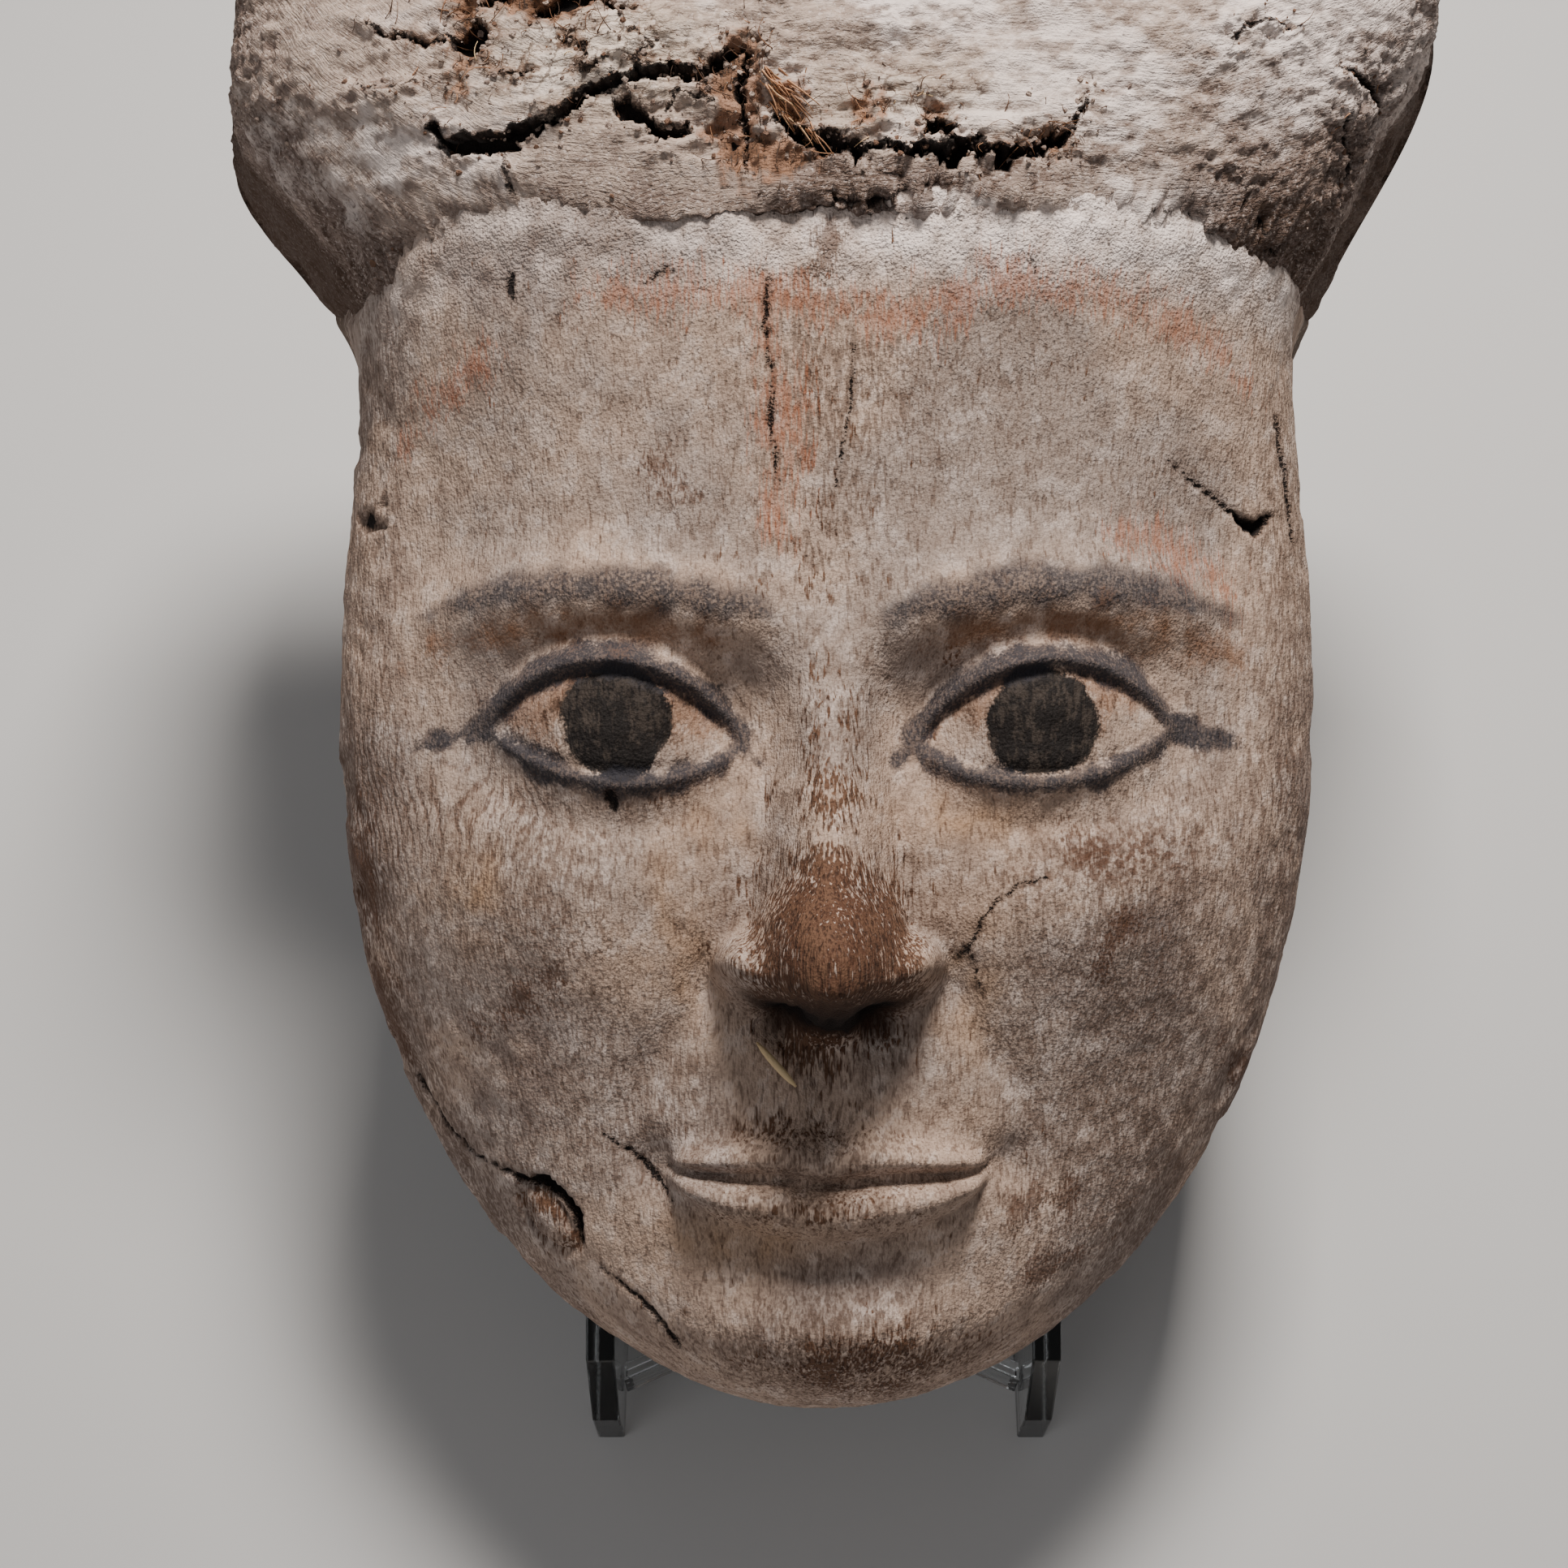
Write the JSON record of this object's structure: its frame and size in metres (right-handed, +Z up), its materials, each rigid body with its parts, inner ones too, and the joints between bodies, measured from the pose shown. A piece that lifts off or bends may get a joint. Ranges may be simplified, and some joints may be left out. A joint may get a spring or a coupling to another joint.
{
  "type": "sarcophagus mask",
  "caption": "Carved and painted wooden coffin mask with a calm face and part of its headdress, lying chin down on a low clear cradle.",
  "frame": {"origin": "middle of the whole thing seen from above, on the surface that the cradle's two plates stand on", "axes": "+X across the mask, to the right of a person who looks at its face from the chin's end; +Y level, from the chin's end towards the crown's; +Z up"},
  "size_m": [0.2138, 0.2566, 0.189],
  "materials": {
    "painted_wood": "worn matt paint on a thin pinkish ground over carved wood, bare and brown in places",
    "clear_acrylic": "clear, polished"
  },
  "bodies": {
    "root": {"mask": "painted_wood", "stand_left_plate": "clear_acrylic", "stand_left_strut": "clear_acrylic", "stand_right_plate": "clear_acrylic", "stand_right_strut": "clear_acrylic", "stand_rear_bar": "clear_acrylic"}
  },
  "joints": []
}
